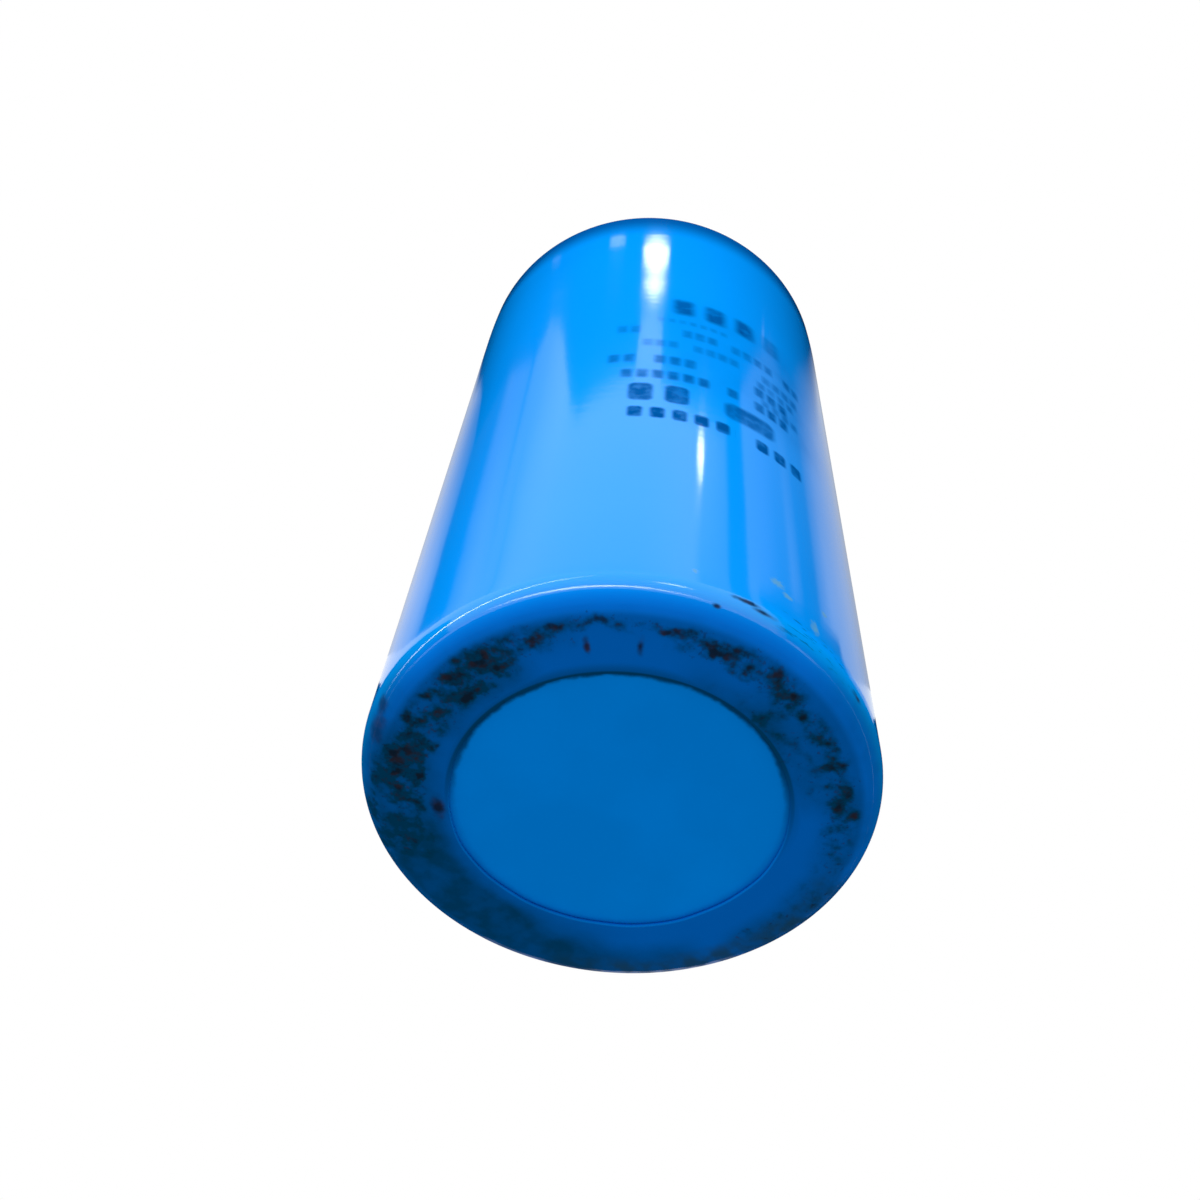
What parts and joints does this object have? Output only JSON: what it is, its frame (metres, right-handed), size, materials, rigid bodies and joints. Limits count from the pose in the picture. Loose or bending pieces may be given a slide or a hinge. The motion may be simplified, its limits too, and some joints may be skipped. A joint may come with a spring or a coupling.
{
  "type": "motor start capacitor",
  "caption": "Cylindrical AC motor start capacitor: aluminium can in a blue shrunk sleeve, closed by a moulded deck with push-on tabs.",
  "frame": {"origin": "centre of the base, on the plane of the sleeve's lip that the capacitor stands on", "axes": "+Z along the can's axis, from the base to the tabs; X through both terminals; the printed side faces -Y"},
  "size_m": [0.05, 0.05, 0.1055],
  "materials": {
    "sleeve_film": "glossy blue shrunk film with a soft sheen",
    "disc_film": "satin blue sheet, soiled",
    "can_metal": "drawn bright",
    "pad_fibre": "pressed fibre",
    "winding_paper": "soaked paper with foil edges",
    "tape_film": "satin tape",
    "lead_foil": "soft rolled strip",
    "deck_moulding": "moulded phenolic, dull",
    "gasket_rubber": "dull black",
    "washer_metal": "stamped",
    "rivet_metal": "headed, satin",
    "terminal_plating": "tin plated, satin"
  },
  "bodies": {
    "root": {"sleeve": "sleeve_film", "base_disc": "disc_film", "can": "can_metal", "base_pad": "pad_fibre", "winding": "winding_paper", "winding_tape": "tape_film", "cap_pad": "pad_fibre", "lead_left": "lead_foil", "lead_right": "lead_foil", "deck": "deck_moulding", "gasket": "gasket_rubber", "vent_plug": "gasket_rubber", "inner_washer_left": "washer_metal", "inner_washer_right": "washer_metal", "rivet_left": "rivet_metal", "rivet_right": "rivet_metal", "terminal_left": "terminal_plating", "terminal_right": "terminal_plating"}
  },
  "joints": []
}
